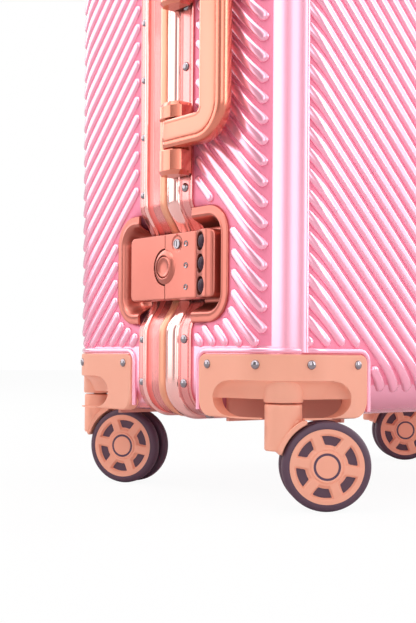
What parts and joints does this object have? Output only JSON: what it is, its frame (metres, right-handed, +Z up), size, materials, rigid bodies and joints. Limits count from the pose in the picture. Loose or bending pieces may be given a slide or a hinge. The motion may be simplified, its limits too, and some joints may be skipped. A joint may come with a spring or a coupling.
{
  "type": "hard shell suitcase",
  "caption": "Upright hard shell suitcase with ribbed halves, aluminium frame closure, combination locks, folding handles, telescopic handle and swivel casters.",
  "frame": {"origin": "on the floor under the middle of the whole object's box", "axes": "+Z up; -Y out of the front face, +X towards the hinges, -X towards the locks and side handle"},
  "size_m": [0.401, 0.2732, 0.555],
  "materials": {
    "shell": "pearl pink polycarbonate, semi-gloss",
    "frame": "rose gold anodised extrusion, satin with polished bead",
    "housing": "peach moulded nylon, matt",
    "lock": "rose gold zinc casting, satin",
    "chrome": "polished",
    "handle": "rose gold, semi-gloss",
    "tyre": "dark plum polyurethane on peach rims",
    "black": "black moulded plastic",
    "lining": "dark woven polyester lining",
    "tube": "rose gold anodised tube"
  },
  "bodies": {
    "rear_half": {"hinge_leaf_rear_lower": "frame", "hinge_leaf_rear_upper": "frame", "lock_tray_rear_lower": "lock", "lock_tray_rear_upper": "lock", "rear_frame": "frame", "rear_lining": "lining", "rear_shell": "shell", "trolley_bezel": "black", "trolley_foot": "black", "trolley_outer_tube_left": "tube", "trolley_outer_tube_right": "tube", "wheel_housing_rear_left": "housing", "wheel_housing_rear_right": "housing"},
    "front_half": {"front_frame": "frame", "front_lining": "lining", "front_shell": "shell", "hinge_leaf_front_lower": "frame", "hinge_leaf_front_upper": "frame", "lock_case_lower": "lock", "lock_case_upper": "lock", "lock_tray_front_lower": "lock", "lock_tray_front_upper": "lock", "side_handle_bracket_a": "handle", "side_handle_bracket_b": "handle", "top_handle_bracket_a": "handle", "top_handle_bracket_b": "handle", "wheel_housing_front_left": "housing", "wheel_housing_front_right": "housing"},
    "side_handle": {"side_handle": "handle"},
    "top_handle": {"top_handle": "handle"},
    "trolley_middle": {"trolley_middle_tube_left": "tube", "trolley_middle_tube_right": "tube"},
    "trolley_grip": {"trolley_inner_tube_left": "tube", "trolley_inner_tube_right": "tube", "trolley_grip": "black"},
    "trolley_button": {"trolley_button": "tube"},
    "caster_front_left": {"caster_fork_front_left": "housing"},
    "wheel_front_left": {"caster_wheel_front_left": "tyre"},
    "caster_rear_left": {"caster_fork_rear_left": "housing"},
    "wheel_rear_left": {"caster_wheel_rear_left": "tyre"},
    "caster_rear_right": {"caster_fork_rear_right": "housing"},
    "wheel_rear_right": {"caster_wheel_rear_right": "tyre"},
    "caster_front_right": {"caster_fork_front_right": "housing"},
    "wheel_front_right": {"caster_wheel_front_right": "tyre"},
    "latch_lower": {"latch_cover_lower": "lock"},
    "button_lower": {"lock_button_lower": "lock"},
    "key_lower": {"key_cylinder_lower": "chrome"},
    "dial_lower_1": {"lock_dial_lower_1": "black"},
    "dial_lower_2": {"lock_dial_lower_2": "black"},
    "dial_lower_3": {"lock_dial_lower_3": "black"},
    "latch_upper": {"latch_cover_upper": "lock"},
    "button_upper": {"lock_button_upper": "lock"},
    "key_upper": {"key_cylinder_upper": "chrome"},
    "dial_upper_1": {"lock_dial_upper_1": "black"},
    "dial_upper_2": {"lock_dial_upper_2": "black"},
    "dial_upper_3": {"lock_dial_upper_3": "black"}
  },
  "joints": [
    {"name": "case_hinge", "type": "hinge", "parent": "rear_half", "child": "front_half", "pos_m": [0.17536, -0.00042, 0.297], "axis": [0, 0, 1], "range_deg": [0, 100]},
    {"name": "side_handle_hinge", "type": "hinge", "parent": "front_half", "child": "side_handle", "pos_m": [-0.19554, -0.01843, 0.297], "axis": [0, 0, -1], "range_deg": [0, 95]},
    {"name": "top_handle_hinge", "type": "hinge", "parent": "front_half", "child": "top_handle", "pos_m": [-0.00754, -0.01843, 0.55], "axis": [-1, 0, 0], "range_deg": [0, 95]},
    {"name": "trolley_lower", "type": "slide", "parent": "rear_half", "child": "trolley_middle", "axis": [0, 0, 1], "range_m": [0, 0.23]},
    {"name": "trolley_upper", "type": "slide", "parent": "trolley_middle", "child": "trolley_grip", "axis": [0, 0, 1], "range_m": [0, 0.23]},
    {"name": "trolley_button_press", "type": "slide", "parent": "trolley_grip", "child": "trolley_button", "axis": [0, 0, -1], "range_m": [0, 0.003], "stiffness_N_per_m": 400},
    {"name": "latch_lower_hinge", "type": "hinge", "parent": "rear_half", "child": "latch_lower", "pos_m": [-0.18055, 0.03807, 0.1565], "axis": [0, 0, -1], "range_deg": [0, 90]},
    {"name": "button_lower_press", "type": "slide", "parent": "front_half", "child": "button_lower", "axis": [1, 0, 0], "range_m": [0, 0.002], "stiffness_N_per_m": 500},
    {"name": "key_lower_turn", "type": "hinge", "parent": "front_half", "child": "key_lower", "pos_m": [-0.18255, -0.01392, 0.1715], "axis": [-1, 0, 0], "range_deg": [0, 90]},
    {"name": "dial_lower_1_turn", "type": "hinge", "parent": "front_half", "child": "dial_lower_1", "pos_m": [-0.18315, -0.04392, 0.142], "axis": [0, 0, 1], "continuous": true},
    {"name": "dial_lower_2_turn", "type": "hinge", "parent": "front_half", "child": "dial_lower_2", "pos_m": [-0.18315, -0.04392, 0.1565], "axis": [0, 0, 1], "continuous": true},
    {"name": "dial_lower_3_turn", "type": "hinge", "parent": "front_half", "child": "dial_lower_3", "pos_m": [-0.18315, -0.04392, 0.171], "axis": [0, 0, 1], "continuous": true},
    {"name": "latch_upper_hinge", "type": "hinge", "parent": "rear_half", "child": "latch_upper", "pos_m": [-0.18055, 0.03807, 0.4375], "axis": [0, 0, -1], "range_deg": [0, 90]},
    {"name": "button_upper_press", "type": "slide", "parent": "front_half", "child": "button_upper", "axis": [1, 0, 0], "range_m": [0, 0.002], "stiffness_N_per_m": 500},
    {"name": "key_upper_turn", "type": "hinge", "parent": "front_half", "child": "key_upper", "pos_m": [-0.18255, -0.01392, 0.4525], "axis": [-1, 0, 0], "range_deg": [0, 90]},
    {"name": "dial_upper_1_turn", "type": "hinge", "parent": "front_half", "child": "dial_upper_1", "pos_m": [-0.18315, -0.04392, 0.423], "axis": [0, 0, 1], "continuous": true},
    {"name": "dial_upper_2_turn", "type": "hinge", "parent": "front_half", "child": "dial_upper_2", "pos_m": [-0.18315, -0.04392, 0.4375], "axis": [0, 0, 1], "continuous": true},
    {"name": "dial_upper_3_turn", "type": "hinge", "parent": "front_half", "child": "dial_upper_3", "pos_m": [-0.18315, -0.04392, 0.452], "axis": [0, 0, 1], "continuous": true},
    {"name": "swivel_front_left", "type": "hinge", "parent": "front_half", "child": "caster_front_left", "pos_m": [-0.16284, -0.09573, 0], "axis": [0, 0, 1], "continuous": true},
    {"name": "roll_front_left", "type": "hinge", "parent": "caster_front_left", "child": "wheel_front_left", "pos_m": [-0.14176, -0.1111, 0.028], "axis": [0.5892, 0.808, 0], "continuous": true},
    {"name": "swivel_rear_left", "type": "hinge", "parent": "rear_half", "child": "caster_rear_left", "pos_m": [-0.16284, 0.11488, 0], "axis": [0, 0, 1], "continuous": true},
    {"name": "roll_rear_left", "type": "hinge", "parent": "caster_rear_left", "child": "wheel_rear_left", "pos_m": [-0.15055, 0.09185, 0.028], "axis": [0.8821, 0.471, 0], "continuous": true},
    {"name": "swivel_rear_right", "type": "hinge", "parent": "rear_half", "child": "caster_rear_right", "pos_m": [0.14775, 0.11488, 0], "axis": [0, 0, 1], "continuous": true},
    {"name": "roll_rear_right", "type": "hinge", "parent": "caster_rear_right", "child": "wheel_rear_right", "pos_m": [0.1686, 0.09917, 0.028], "axis": [0.6018, 0.7986, 0], "continuous": true},
    {"name": "swivel_front_right", "type": "hinge", "parent": "front_half", "child": "caster_front_right", "pos_m": [0.14775, -0.09573, 0], "axis": [0, 0, 1], "continuous": true},
    {"name": "roll_front_right", "type": "hinge", "parent": "caster_front_right", "child": "wheel_front_right", "pos_m": [0.1708, -0.10798, 0.028], "axis": [0.4695, 0.8829, 0], "continuous": true}
  ],
  "couplings": [
    {"joint": "trolley_upper", "follows": "trolley_lower", "ratio": 1}
  ]
}
